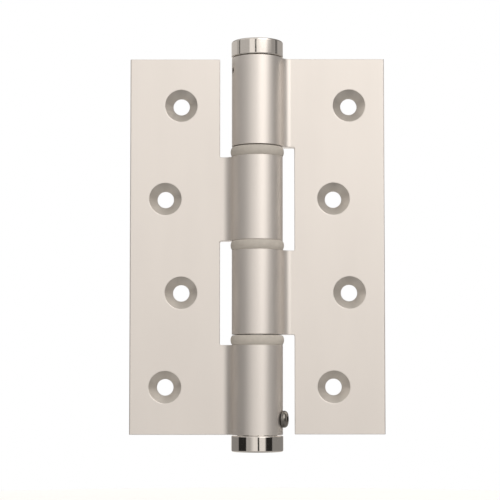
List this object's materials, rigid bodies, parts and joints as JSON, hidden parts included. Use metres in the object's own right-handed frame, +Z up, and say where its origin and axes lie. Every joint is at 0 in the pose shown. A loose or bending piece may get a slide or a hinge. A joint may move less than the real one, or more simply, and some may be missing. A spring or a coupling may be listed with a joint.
{
  "type": "spring loaded door hinge",
  "caption": "Flat open butt hinge with a round barrel that holds an adjustable torsion spring, plastic bearings between its knuckles and chromed end caps.",
  "frame": {"origin": "on the hinge axis at mid height", "axes": "+Z up the hinge axis, towards the door leaf's end knuckle; the countersunk faces look along -Y; the frame leaf lies at -X and the door leaf at +X"},
  "size_m": [0.1016, 0.0212, 0.1636],
  "materials": {
    "anodised_aluminium": "satin anodised, warm silver",
    "bearing_plastic": "moulded, matt warm grey",
    "polished_chrome": "turned and polished",
    "tube_steel": "drawn tube",
    "spring_steel": "oiled spring steel",
    "screw_steel": "nickelled steel"
  },
  "bodies": {
    "frame": {"frame_leaf": "anodised_aluminium", "upper_bush": "bearing_plastic", "lower_bush": "bearing_plastic", "pivot_tube": "tube_steel", "torsion_spring": "spring_steel", "tension_plug": "polished_chrome", "tension_screw": "screw_steel"},
    "door": {"door_leaf": "anodised_aluminium", "middle_bush": "bearing_plastic", "top_sleeve": "bearing_plastic", "top_plug": "polished_chrome", "top_plug_pin": "screw_steel"}
  },
  "joints": [
    {"name": "door_swing", "type": "hinge", "parent": "frame", "child": "door", "pos_m": [0, 0, 0], "axis": [0, 0, 1], "range_deg": [-180, 10], "stiffness_Nm_per_rad": 1.45, "deforming": ["torsion_spring"]}
  ]
}
